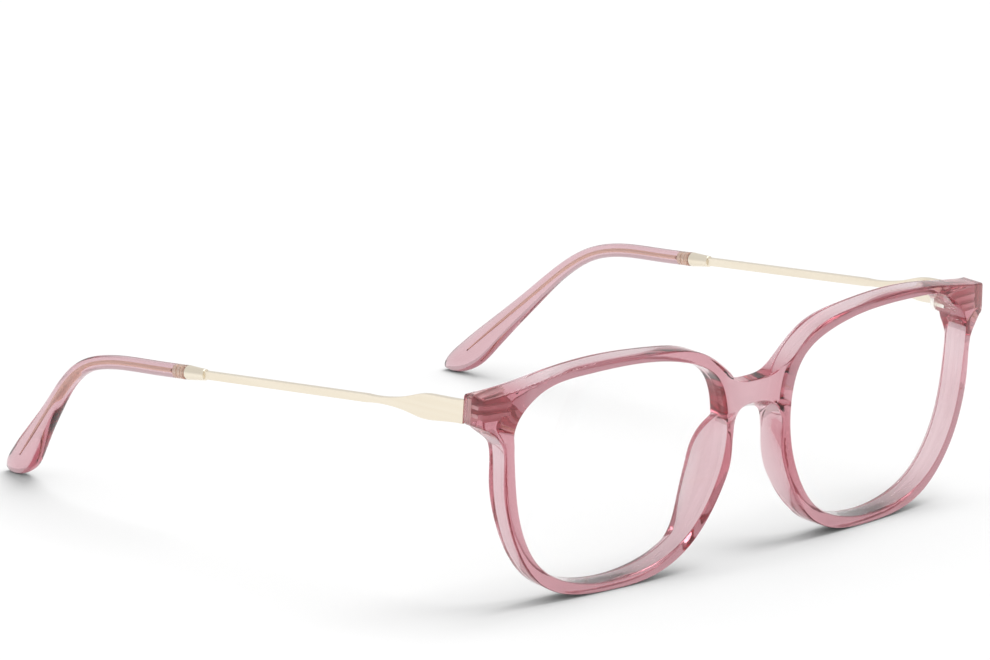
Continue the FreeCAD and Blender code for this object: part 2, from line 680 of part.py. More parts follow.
def ferrule():
    """The turned metal cone that ends the acetate tip."""
    small, large, length = size("ferrule_small_radius"), size("ferrule_large_radius"), size("ferrule_length")
    bore = math.hypot(size("bar_height"), size("metal_thickness")) / 2 + size("fit_gap")
    points = [(bore + 0.12, 0), (small + 0.12, 0.12), (small + 0.12, 0.5), (large, length - 0.5),
              (large, length - 0.1), (large - 0.1, length)]
    return on_run("ferrule", "ferrule_right", size("bar_end"), ring_profile(points, bore))


def collar():
    """The ribbed collar that keys the core wire into the acetate."""
    outer, length = size("collar_radius"), size("collar_length")
    bore = size("wire_radius") + size("fit_gap") / 2
    points = [(outer, 0)]
    ribs = 3
    step = length / ribs
    for rib in range(ribs):
        base = rib * step
        points += [(outer, base + step * 0.5), (outer - 0.18, base + step * 0.62)]
        if rib < ribs - 1:
            points += [(outer - 0.18, base + step * 0.88), (outer, base + step)]
    points.append((outer - 0.18, length))
    return on_run("collar", "core_collar_right", size("bar_end") + size("ferrule_length") + 0.3,
                  ring_profile(points, bore))


TIP_SIDES = 20


def tip_section(centre, heading, above, below, thickness):
    """A rounded cross-section of the tip: flat towards the head, soft at every edge."""
    level = Vector(heading.y, -heading.x, 0).normalize()
    upward = level.cross(heading).normalize()
    half = (above + below) / 2
    middle = centre + upward * ((above - below) / 2)
    power = 2 / size("tip_squareness")
    points = []
    for step in range(TIP_SIDES):
        angle = 2 * math.pi * (step + 0.5) / TIP_SIDES
        wide = math.copysign(abs(math.cos(angle)) ** power, math.cos(angle))
        tall = math.copysign(abs(math.sin(angle)) ** power, math.sin(angle))
        points.append(middle + level * (wide * thickness / 2) + upward * (tall * half))
    return Part.makePolygon(points + points[:1])


def tip_stations():
    """Where the tip's cross-sections lie: point, heading, part above and below the wire, thickness."""
    small, start_y = size("tip_start_size") / 2, size("bar_end") + size("ferrule_length")
    wide, thick = size("tip_width"), size("tip_thickness")
    stations = [(along(start_y), RUN, small, small, 2 * small),
                (along((start_y + BEND_FIRST.y) / 2), RUN, small, small, 2 * small),
                (BEND_FIRST, RUN, small, small, 2 * small + 0.05),
                (BEND_MIDDLE, (RUN + DROP).normalize(), small + 0.05, small + 0.05, 2 * small + 0.2)]
    drop = size("drop_length")
    swell = [(0.24, 0.1, 0.25), (0.4, 0.2, 0.75), (0.55, 0.4, 1.35), (0.7, 0.75, 2.2)]
    for share, more_above, more_below in swell:
        stations.append((CORNER + DROP * drop * share, DROP, small + more_above, small + more_below, thick))
    widest, end = 0.8, 1.0
    for turn in (0.0, 0.4, 0.65, 0.83, 0.93, 0.98):
        share = widest + (end - widest) * turn
        above = wide * 0.36 * (1 - turn ** 5) ** 0.5
        below = wide * 0.64 * (1 - turn ** 2) ** 0.5 - 0.36 * wide * 0.55 * turn ** 2
        stations.append((CORNER + DROP * drop * share, DROP, above, below,
                         thick * (1 - turn ** 8) ** 0.5))
    return stations


def temple_tip():
    """The acetate tip behind the ear, bored for the core wire and for its collar."""
    blank = add("Part::Feature", "tip_blank")
    blank.Shape = Part.makeLoft([tip_section(*station) for station in tip_stations()], True, False)
    start_y, bore_radius = size("bar_end") + size("ferrule_length"), size("wire_radius") + size("fit_gap")
    bore = round_run("tip_bore", bore_radius, along(start_y - 1), TIP_END - DROP * (size("wire_short") - 0.1))
    seat = add("Part::Cylinder", "collar_seat")
    bind(seat, Radius="sizes.collar_radius + sizes.fit_gap", Height="sizes.collar_length + 1.4")
    seat.Placement = Placement(along(start_y - 1), Rotation(Vector(0, 0, 1), RUN))
    cutters = add("Part::MultiFuse", "tip_cutters", Shapes=[bore, seat])
    return add("Part::Cut", "temple_tip", "temple_tip_right", Base=blank, Tool=cutters)


# ---------------------------------------------------------------- assembly
# Cross-sections of a nose pad, from the bridge down: height, middle of the rim there, reach behind the sheet.
PAD_SECTIONS = ((6.6, 6.9, -0.25), (4.6, 6.95, 0.9), (2.4, 7.15, 2.4), (-0.5, 7.6, 3.7), (-4.0, 8.5, 4.3),
                (-8.0, 10.35, 3.9), (-11.5, 12.7, 2.5), (-14.0, 14.75, 1.1), (-16.2, 16.9, -0.25))
PAD_SIDES = 20


def pad_section(height, middle, reach):
    """A rounded cross-section of a nose pad, level with the floor."""
    root = size("sheet_depth") - size("pad_root")
    depth, half = size("pad_depth") / 4.3 * reach + size("pad_root"), size("pad_width") / 2
    power = 2 / size("pad_squareness")
    points = []
    for step in range(PAD_SIDES):
        angle = 2 * math.pi * (step + 0.5) / PAD_SIDES
        across = math.copysign(abs(math.cos(angle)) ** power, math.cos(angle))
        behind = math.copysign(abs(math.sin(angle)) ** power, math.sin(angle))
        rise = behind * (depth if behind > 0 else size("pad_root") / 2)
        splay = math.tan(math.radians(size("pad_splay"))) * max(rise, 0)
        points.append(Vector(middle + across * half + splay, root + rise, height))
    return Part.makePolygon(points + points[:1])


def nose_pad(blank):
    """An acetate pad on the nasal back of a rim, cut to sit on the curved back of the sheet."""
    lobe = add("Part::Feature", "pad_lobe")
    lobe.Shape = Part.makeLoft([pad_section(*section) for section in PAD_SECTIONS], True, False)
    return add("Part::Cut", "nose_pad", "nose_pad_right", Base=lobe, Tool=blank)


def build_front():
    """The acetate front with its lens grooves and the recesses of the hinge plates."""
    blank, outline, opening = front_blank(), front_prism(), opening_prism()
    shaped = add("Part::MultiCommon", "front_shaped", Shapes=[blank, outline])
    recess = body("hinge_recess", "hinge_recess")
    plate_solids(recess, size("fit_gap"))
    groove = lens("groove", grown=size("groove_gap"))
    cutters = [opening, groove, recess]
    twins = [mirrored(cutter, cutter.Name + "_twin") for cutter in cutters] + [bridge_dip()]
    front = add("Part::Cut", "front", "front_frame", Base=shaped,
                Tool=add("Part::MultiFuse", "front_cuts", Shapes=cutters + twins))
    return front, blank


front, blank = build_front()
on_face = [front, lens("lens", "lens_right"), nose_pad(blank), front_hinge(), temple_hinge()]
screw = hinge_screw()
wire = round_run("core_wire", size("wire_radius"), JOINT, TIP_END - DROP * size("wire_short"),
                 "core_wire_right")
on_temple = [temple_arm(), wire, ferrule(), collar(), temple_tip()]
doc.recompute()


AXIS = Vector(size("hinge_x"), AXIS_Y, size("hinge_height"))
LOCAL = {piece.Name: piece.Placement.copy() for piece in on_temple}


def place_all(shift):
    """Tilt the front, and move every right-hand piece by the same shift."""
    face = Placement(shift, Rotation(Vector(1, 0, 0), size("face_tilt")))
    for piece in on_face:
        piece.Placement = face
    screw.Placement = face.multiply(Placement(AXIS, Rotation()))
    for piece in on_temple:
        piece.Placement = Placement(shift, Rotation()).multiply(LOCAL[piece.Name])


def reach(group):
    """The box round some pieces."""
    box = FreeCAD.BoundBox()
    for piece in group:
        box.add(piece.Shape.optimalBoundingBox(True, False))
    return box


right_hand = on_face + [screw] + on_temple
place_all(Vector())
whole = reach(right_hand)
print("lowest points:", round(reach(on_face).ZMin, 2), round(reach(on_temple).ZMin, 2))
place_all(Vector(0, -(whole.YMin + whole.YMax) / 2, -whole.ZMin))

pieces = list(right_hand)
for piece in right_hand[1:]:
    pieces.append(mirrored(piece, piece.Name + "_left", piece.Label.replace("right", "left")))
doc.recompute()

for made in doc.Objects:
    failed = [state for state in made.State if state in ("Invalid", "Error")]
    if failed:
        raise RuntimeError(f"{made.Label} failed: {failed}")
for piece in pieces:
    if piece.Shape.isNull() or not piece.Shape.isValid() or len(piece.Shape.Solids) != 1:
        raise RuntimeError(f"{piece.Label} is not one valid solid")

os.makedirs("parts", exist_ok=True)
for piece in pieces:
    piece.Shape.exportStep(f"parts/{piece.Label}.step")
    box = piece.Shape.optimalBoundingBox(True, False)
    corners = [round(value, 2) for value in (box.XMin, box.XMax, box.YMin, box.YMax, box.ZMin, box.ZMax)]
    print(f"{piece.Label:26} {piece.Shape.Volume:9.2f} mm3  {corners}")
hinge = front.Placement.multVec(AXIS)
print("bend", [round(value, 2) for value in right_hand[-1].Placement.multVec(BEND_MIDDLE)])
print("front surface", round(front.Placement.multVec(Vector()).y, 3))
print("hinge axis through", [round(value, 4) for value in hinge],
      "along", [round(value, 5) for value in front.Placement.Rotation.multVec(Vector(0, 0, 1))])
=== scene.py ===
import json
import logging
import math
from dataclasses import dataclass, field
from enum import Enum
from typing import Callable, Sequence

import bmesh
import bpy
import numpy as np
from mathutils import Matrix, Vector
from mathutils.geometry import delaunay_2d_cdt


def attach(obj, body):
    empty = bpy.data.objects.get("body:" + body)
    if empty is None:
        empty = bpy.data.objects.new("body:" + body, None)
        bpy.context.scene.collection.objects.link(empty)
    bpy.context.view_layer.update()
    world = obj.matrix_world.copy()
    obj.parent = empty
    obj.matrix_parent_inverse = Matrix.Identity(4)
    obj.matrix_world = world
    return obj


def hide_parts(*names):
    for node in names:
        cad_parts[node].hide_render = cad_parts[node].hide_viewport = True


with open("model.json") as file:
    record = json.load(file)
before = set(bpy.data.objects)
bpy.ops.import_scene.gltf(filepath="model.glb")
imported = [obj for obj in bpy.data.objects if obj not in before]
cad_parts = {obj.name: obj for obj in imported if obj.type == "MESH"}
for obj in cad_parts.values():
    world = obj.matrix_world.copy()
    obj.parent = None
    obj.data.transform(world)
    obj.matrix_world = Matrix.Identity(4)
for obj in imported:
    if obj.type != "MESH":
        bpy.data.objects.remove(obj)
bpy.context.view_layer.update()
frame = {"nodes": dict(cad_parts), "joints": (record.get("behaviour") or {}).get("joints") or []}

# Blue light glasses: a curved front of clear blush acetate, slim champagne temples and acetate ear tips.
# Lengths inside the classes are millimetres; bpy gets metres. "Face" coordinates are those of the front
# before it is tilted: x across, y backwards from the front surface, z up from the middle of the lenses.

MM = 0.001
Array = np.ndarray
Field = Callable[[Array, Array], Array]
Colour = tuple[float, float, float]
EVEN = (1.0, 1.0, 1.0)
GRID_ROW = 0.866  # height of a row of the triangle grid, as a share of its spacing
GRID_CLEAR = 0.6  # nearest that the grid comes to a border, as a share of its spacing

log = logging.getLogger("glasses")


class Side(Enum):
    """The two sides as the model names them: right is +X, seen from the front."""

    RIGHT = 1
    LEFT = -1

    @property
    def word(self) -> str:
        """The word that ends this side's node names."""
        return self.name.lower()


class Anchor(Enum):
    """What the depth of a ring of points is counted from."""

    FRONT = "front"
    BACK = "back"
    LENS = "lens"


# ------------------------------------------------------------------ curves and fields
def smoothstep(low: float, high: float, value: Array) -> Array:
    """A soft step from 0 at low to 1 at high."""
    share = np.clip((np.asarray(value, float) - low) / (high - low), 0.0, 1.0)
    return share * share * (3 - 2 * share)


def soft_max(first: Array, second: Array, blend: float) -> Array:
    """The larger of two fields, with a rounded valley where they meet."""
    return (first + second + np.sqrt((first - second) ** 2 + blend * blend)) / 2


def smooth_curve(knots: Sequence[Sequence[float]], closed: bool, per_span: int = 40) -> Array:
    """A curve of continuous curvature through some points.

    Args:
        knots: The points, in any number of dimensions.
        closed: Whether the last point joins the first.
        per_span: How many samples lie between two points.

    Returns:
        The samples, one row each; an open curve includes its last point.
    """
    points = np.asarray(list(knots) + ([knots[0]] if closed else []), float)
    steps = np.linalg.norm(np.diff(points, axis=0), axis=1)
    slopes = np.diff(points, axis=0) / steps[:, None]
    spans = len(steps)
    count = spans if closed else spans + 1
    system, right = np.eye(count), np.zeros((count, points.shape[1]))
    for row in range(count) if closed else range(1, spans):
        before, after = steps[row - 1], steps[row]
        system[row] = 0
        system[row, row - 1] += before
        system[row, row] += 2 * (before + after)
        system[row, (row + 1) % count] += after
        right[row] = 6 * (slopes[row] - slopes[row - 1])
    bends = np.linalg.solve(system, right)
    if closed:
        bends = np.vstack([bends, bends[:1]])
    u = np.linspace(0, 1, per_span, endpoint=False)[:, None]
    rows = []
    for span in range(spans):
        near, far = points[span], points[span + 1]
        pull = ((1 - u) ** 3 - (1 - u)) * bends[span] + (u**3 - u) * bends[span + 1]
        rows.append((1 - u) * near + u * far + steps[span] ** 2 / 6 * pull)
    if not closed:
        rows.append(points[-1:])
    return np.vstack(rows)


def evenly(line: Array, spacing: float, closed: bool) -> Array:
    """The same line with its points at an even spacing."""
    whole = np.vstack([line, line[:1]]) if closed else line
    travelled = np.concatenate([[0], np.cumsum(np.linalg.norm(np.diff(whole, axis=0), axis=1))])
    count = max(3, round(travelled[-1] / spacing))
    stops = np.linspace(0, travelled[-1], count, endpoint=not closed)
    return np.column_stack([np.interp(stops, travelled, whole[:, axis]) for axis in range(line.shape[1])])


def outward(loop: Array) -> Array:
    """The unit normals on the right of a closed loop in the plane."""
    along = np.roll(loop, -1, axis=0) - np.roll(loop, 1, axis=0)
    along /= np.linalg.norm(along, axis=1)[:, None]
    return np.column_stack([along[:, 1], -along[:, 0]])


def inside(points: Array, loops: Sequence[Array]) -> Array:
    """Whether points of the plane lie inside an odd number of loops."""
    result = np.zeros(len(points), bool)
    for loop in loops:
        ends = np.roll(loop, -1, axis=0)
        for (x0, z0), (x1, z1) in zip(loop, ends):
            if z0 == z1:
                continue
            crosses = (points[:, 1] > min(z0, z1)) & (points[:, 1] <= max(z0, z1))
            at = x0 + (points[:, 1] - z0) * (x1 - x0) / (z1 - z0)
            result ^= crosses & (points[:, 0] < at)
    return result


def strip(built: bmesh.types.BMesh, before: Sequence, after: Sequence) -> None:
    """Join two rings of vertices by a closed strip of faces."""
    for i in range(len(before)):
        j = (i + 1) % len(before)
        built.faces.new((before[i], before[j], after[j], after[i]))


def closed_mesh(built: bmesh.types.BMesh, name: str) -> bpy.types.Mesh:
    """Turn the faces of a closed shape outwards and keep it as a mesh; the working mesh is freed."""
    bmesh.ops.recalc_face_normals(built, faces=built.faces)
    mesh = bpy.data.meshes.new(name)
    built.to_mesh(mesh)
    built.free()
    return mesh


# ------------------------------------------------------------------ finishes
class Nodes:
    """A small helper that adds and links the nodes of one material."""

    def __init__(self, name: str) -> None:
        """Start an empty node tree with a principled surface."""
        self.material = bpy.data.materials.new(name)
        self.material.use_nodes = True
        self.tree = self.material.node_tree
        self.surface = self.tree.nodes["Principled BSDF"]

    def add(self, kind: str, **values: object) -> bpy.types.Node:
        """Add a node.

        Args:
            kind: The node's type name without its prefix.
            values: Input sockets (with _ for a space) or properties, and their values.

        Returns:
            The node.
        """
        node = self.tree.nodes.new("ShaderNode" + kind)
        for key, value in values.items():
            socket = node.inputs.get(key.replace("_", " "))
            if socket is not None:
                socket.default_value = value
            else:
                setattr(node, key, value)
        return node

    def link(self, source: bpy.types.Node, output: str, target: bpy.types.Node, entry: str) -> None:
        """Join an output socket to an input socket."""
        self.tree.links.new(source.outputs[output], target.inputs[entry])

    def set(self, **values: object) -> None:
        """Set the surface's own sockets, with _ for a space."""
        for key, value in values.items():
            self.surface.inputs[key.replace("_", " ")].default_value = value

    def noise(self, scale: float, detail: float, stretch: Sequence[float] = EVEN) -> bpy.types.Node:
        """A noise in object space, stretched along the axes."""
        place = self.add("TexCoord")
        turn = self.add("Mapping", Scale=stretch)
        noise = self.add("TexNoise", Scale=scale, Detail=detail)
        self.link(place, "Object", turn, "Vector")
        self.link(turn, "Vector", noise, "Vector")
        return noise

    def spread(self, noise: bpy.types.Node, entry: str, low: float, high: float) -> None:
        """Let a noise move one number of the surface between two values."""
        ranged = self.add("MapRange", To_Min=low, To_Max=high)
        self.link(noise, "Fac", ranged, "Value")
        self.link(ranged, "Result", self.surface, entry)

    def tint(self, noise: bpy.types.Node, first: Sequence[float], second: Sequence[float]) -> None:
        """Let a noise move the base colour between two colours."""
        ramp = self.add("ValToRGB")
        for element, place, colour in zip(ramp.color_ramp.elements, (0.3, 0.7), (first, second)):
            element.position, element.color = place, (*colour, 1)
        self.link(noise, "Fac", ramp, "Fac")
        self.link(ramp, "Color", self.surface, "Base Color")

    def bump(self, noise: bpy.types.Node, strength: float, depth: float) -> None:
        """Raise the surface with a noise, this many metres high."""
        bump = self.add("Bump", Strength=strength, Distance=depth)
        self.link(noise, "Fac", bump, "Height")
        self.link(bump, "Normal", self.surface, "Normal")


@dataclass(frozen=True)
class Acetate:
    """Polished translucent acetate: colour builds up with the depth of the material."""

    name: str = "polished_blush_acetate"
    first: Colour = (0.85, 0.84, 0.845)
    second: Colour = (0.82, 0.805, 0.81)
    passed: Colour = (0.773, 0.227, 0.327)
    density: float = 220.0
    refraction: float = 1.49

    def material(self) -> bpy.types.Material:
        """Make the material."""
        nodes = Nodes(self.name)
        nodes.set(Transmission_Weight=1.0, IOR=self.refraction)
        nodes.tint(nodes.noise(90.0, 3.0), self.first, self.second)
        nodes.spread(nodes.noise(400.0, 2.0), "Roughness", 0.012, 0.035)
        depth = nodes.add("VolumeAbsorption", Color=(*self.passed, 1), Density=self.density)
        output = nodes.tree.nodes["Material Output"]
        nodes.link(depth, "Volume", output, "Volume")
        return nodes.material


@dataclass(frozen=True)
class ClearLens:
    """A clear lens with a hard anti-reflective coat."""

    name: str = "clear_coated_lens"
    refraction: float = 1.5
    presence: float = 0.05

    def material(self) -> bpy.types.Material:
        """Make the material."""
        nodes = Nodes(self.name)
        nodes.set(Transmission_Weight=1.0, IOR=self.refraction, Alpha=self.presence)
        nodes.tint(nodes.noise(60.0, 1.0), (0.99, 0.995, 1.0), (0.985, 0.992, 1.0))
        nodes.spread(nodes.noise(300.0, 1.0), "Roughness", 0.0, 0.006)
        return nodes.material


@dataclass(frozen=True)
class SatinMetal:
    """Plated metal with a satin finish drawn along one axis."""

    name: str
    first: Colour
    second: Colour
    rough: tuple[float, float] = (0.26, 0.36)
    grain: tuple[float, float, float] = (1.0, 0.03, 1.0)
    line_scale: float = 9000.0
    patch_scale: float = 700.0
    relief: float = 0.000004
    strength: float = 0.35

    def material(self) -> bpy.types.Material:
        """Make the material."""
        nodes = Nodes(self.name)
        nodes.set(Metallic=1.0)
        lines = nodes.noise(self.line_scale, 3.0, self.grain)
        nodes.tint(nodes.noise(self.patch_scale, 2.0, self.grain), self.first, self.second)
        nodes.spread(lines, "Roughness", *self.rough)
        nodes.bump(lines, self.strength, self.relief)
        return nodes.material


@dataclass(frozen=True)
class StudioFloor:
    """The matt pale floor under the glasses."""

    name: str = "studio_floor"

    def material(self) -> bpy.types.Material:
        """Make the material."""
        nodes = Nodes(self.name)
        nodes.set(Roughness=0.9, Specular_IOR_Level=0.1)
        nodes.tint(nodes.noise(3.0, 2.0), (0.90, 0.90, 0.90), (0.905, 0.905, 0.905))
        return nodes.material


ACETATE = Acetate()
LENS = ClearLens()
CHAMPAGNE = SatinMetal("satin_champagne_plating", (0.86, 0.775, 0.63), (0.90, 0.825, 0.69))
# The hinge plating is lighter than the temples' plating: painted light, standing in for light that reaches
# the plate inside the acetate from its sides.
HINGE_LIT_GOLD = SatinMetal("hinge_plating_painted_light", (0.97, 0.93, 0.86), (0.98, 0.95, 0.89), (0.3, 0.4), EVEN)
CORE_GOLD = SatinMetal("warm_core_wire", (0.98, 0.82, 0.64), (1.0, 0.86, 0.70), (0.3, 0.4))
STEEL = SatinMetal("bright_screw_steel", (0.66, 0.66, 0.67), (0.74, 0.74, 0.75), (0.14, 0.24), EVEN)


def new_object(name: str, mesh: bpy.types.Mesh, material: bpy.types.Material) -> bpy.types.Object:
    """Put a mesh in the scene as a smooth object with one material."""
    mesh.materials.clear()
    mesh.materials.append(material)
    for face in mesh.polygons:
        face.use_smooth = True
    made = bpy.data.objects.new(name, mesh)
    bpy.context.scene.collection.objects.link(made)
    return made


def even_shading(piece: bpy.types.Object) -> None:
    """Let the large faces decide the shading beside small ones."""
    weighted = piece.modifiers.new("even_shading", "WEIGHTED_NORMAL")
    weighted.mode = "FACE_AREA"
    weighted.weight = 80
    weighted.keep_sharp = True


# ------------------------------------------------------------------ the front
@dataclass(frozen=True)
class FaceCurve:
    """The curved sheet of the front: its surfaces, its hollow at the bridge, its pads and end blocks.

    The pad line gives, from the bottom up, a height, how far the pad stands out there and its splay.
    """

    radius: float = 502.0
    dome: float = 380.0
    turn: float = 32.0
    turn_from: float = 57.5
    main_reach: float = 62.0
    half_width: float = 65.7
    depth: float = 4.65
    tilt: float = math.radians(3.5)
    block_before: float = 5.5
    block_sunk: float = 0.6
    block_run: float = 4.5
    block_side: tuple[float, float] = (50.0, 52.5)
    block_back: float = 10.6
    block_blend: float = 0.3
    block_foot: float = 7.9
    foot_rise: float = 3.2
    foot_run: float = 3.4
    foot_fade: float = 1.5
    block_roof: float = 18.9
    roof_depth: float = 5.2
    roof_slope: float = 3.1
    kept_height: tuple[float, float] = (8.5, 11.5)
    kept_side: tuple[float, float] = (55.0, 60.0)
    dip_depth: float = 1.3
    dip_low: float = 5.6
    dip_high: float = 9.8
    dip_top: float = 13.5
    dip_crest: tuple[float, float] = (1.5, -1.0)
    dip_foot: tuple[float, float] = (-0.5, 1.5)
    dip_blend: float = 0.06
    hinge_x: float = 61.3
    hinge_y: float = 12.25
    hinge_z: float = 14.9
    lens_x: float = 34.0
    lens_width: float = 51.0
    lens_radius: float = 240.0
    lens_depth: float = 1.9
    lens_seat: float = 1.9
    pad_side: tuple[float, float] = (26.0, 19.0)
    pad_line: tuple[tuple[float, float, float], ...] = (
        (-16.2, 0.0, 0.2), (-14.0, 1.0, 0.26), (-11.5, 2.1, 0.34), (-8.0, 3.05, 0.40), (-4.0, 3.2, 0.59),
        (-0.5, 2.9, 0.79), (2.4, 2.1, 0.86), (4.6, 0.85, 0.84), (5.7, 0.0, 0.8))

    def plane(self, x: Array, z: Array, behind: float) -> Array:
        """Depth of a surface parallel to the front surface.

        Args:
            x: Distances from the middle.
            z: Heights.
            behind: How far it lies behind the front surface.

        Returns:
            The depth at each point.
        """
        away = np.abs(x)
        sunk = behind + z * z / (2 * self.dome)
        lean = math.asin(self.turn_from / self.radius)
        main = self.radius - np.sqrt((self.radius - sunk) ** 2 - np.minimum(away, self.main_reach) ** 2)
        centre_x = self.turn_from - self.turn * math.sin(lean)
        centre_y = self.radius - math.sqrt(self.radius**2 - self.turn_from**2) + self.turn * math.cos(lean)
        inner = (self.turn - sunk) ** 2 - np.maximum(away - centre_x, 0) ** 2
        arc = centre_y - np.sqrt(np.maximum(inner, 1))
        return np.where(away > self.turn_from - sunk * math.sin(lean), arc, main)

    def front(self, x: Array, z: Array) -> Array:
        """Depth of the front surface, with the hollow across the bridge."""
        sheet = self.plane(x, z, 0.0)
        height = np.clip(z, 0.0, self.dip_top)
        half = self.dip_low + (self.dip_high - self.dip_low) * height / self.dip_top
        share = (x / half) ** 2
        rim = self.radius - np.sqrt(self.radius**2 - half**2) + height**2 / (2 * self.dome)
        hollow = rim + self.dip_depth * (1 - share)
        crest = smoothstep(self.dip_top + self.dip_crest[0], self.dip_top + self.dip_crest[1], z)
        fade = crest * smoothstep(*self.dip_foot, z)
        return sheet + (soft_max(sheet, hollow, self.dip_blend) - sheet) * fade

    def pad(self, x: Array, z: Array) -> Array:
        """How far the nose pads stand behind the sheet."""
        curve = smooth_curve([(height, reach) for height, reach, _ in self.pad_line], closed=False)
        reach = np.maximum(np.interp(z, curve[:, 0], curve[:, 1], 0.0, 0.0), 0.0)
        return reach * smoothstep(*self.pad_side, np.abs(x))

    def splay(self, z: Array) -> Array:
        """How far a pad leans away from the nose for each millimetre that it stands out."""
        return np.interp(z, [row[0] for row in self.pad_line], [row[2] for row in self.pad_line])

    def back(self, x: Array, z: Array) -> Array:
        """Depth of the back surface, with the nose pads and the thicker end pieces."""
        sheet = self.plane(x, z, self.depth) + self.pad(x, z)
        start = self.turn_from - self.block_before
        foot = self.radius - math.sqrt(self.radius**2 - start**2) + self.depth - self.block_sunk
        rise = np.interp(np.abs(x), [start, start + self.block_run], [foot, self.block_back])
        climb = np.maximum(z - self.block_foot, 0) * self.foot_rise / self.foot_run
        ramp = self.block_back - self.foot_rise + climb
        roof = self.roof_depth + (self.block_roof - z) * self.roof_slope
        block = np.minimum(np.minimum(rise, roof), np.minimum(ramp, self.block_back))
        shown = smoothstep(self.block_foot - self.foot_fade, self.block_foot, z)
        shown = shown * smoothstep(*self.block_side, np.abs(x))
        return sheet + (soft_max(sheet, block, self.block_blend) - sheet) * shown

    def lens(self, x: Array, z: Array, behind: float) -> Array:
        """Depth of a surface of the lens.

        Args:
            x: Distances from the middle.
            z: Heights.
            behind: How far it lies behind the lens's front surface.

        Returns:
            The depth at each point.
        """
        away = np.abs(x)
        turn = math.asin(self.lens_x / self.radius)
        start = self.radius - math.sqrt(self.radius**2 - self.lens_x**2)
        vertex = self.lens_seat - self.lens_depth / 2 - self.lens_width**2 / 16 / self.lens_radius
        bowl = self.lens_radius - behind
        normal = np.zeros_like(away)
        for _ in range(3):
            across = (away - self.lens_x + normal * math.sin(turn)) / math.cos(turn)
            normal = vertex + behind + bowl - np.sqrt(bowl**2 - across**2 - z**2)
        return start + across * math.sin(turn) + normal * math.cos(turn)

    def narrowing(self, x: Array, z: Array) -> Array:
        """How strongly the walls close in with depth; the end pieces keep their width."""
        return 1 - smoothstep(*self.kept_height, z) * smoothstep(*self.kept_side, np.abs(x))

    def placed(self, flat: Array, depth: Array) -> Array:
        """Turn outline points and their depths into places of the face frame.

        Args:
            flat: Points of the outline drawing.
            depth: The depth of each.

        Returns:
            The places, one row each.
        """
        x, z = flat[:, 0], flat[:, 1]
        beyond = np.maximum(depth - self.plane(x, z, self.depth), 0.0) * (self.pad(x, z) > 0)
        splay = np.sign(x) * self.splay(z) * beyond
        return np.column_stack([x * (1 - depth / self.radius * self.narrowing(x, z)) + splay, depth, z])

    def origin(self) -> Array:
        """Where the middle of the front surface lies in the row frame, from the hinge axis of the frame."""
        joint = next(j for j in frame["joints"] if j["name"] == "temple_right_hinge")
        hinge = np.array(joint["pos_m"]) / MM
        return hinge - self.tilted(np.array([[self.hinge_x, self.hinge_y, self.hinge_z]]))[0]

    def tilted(self, places: Array) -> Array:
        """Turn places of the face frame by the tilt of the front."""
        sine, cosine = math.sin(self.tilt), math.cos(self.tilt)
        y, z = places[:, 1], places[:, 2]
        return np.column_stack([places[:, 0], y * cosine - z * sine, y * sine + z * cosine])


@dataclass(frozen=True)
class Ring:
    """One ring of points round an outline: how far inside it, and its depth from an anchor."""

    inset: float
    anchor: Anchor
    distance: float


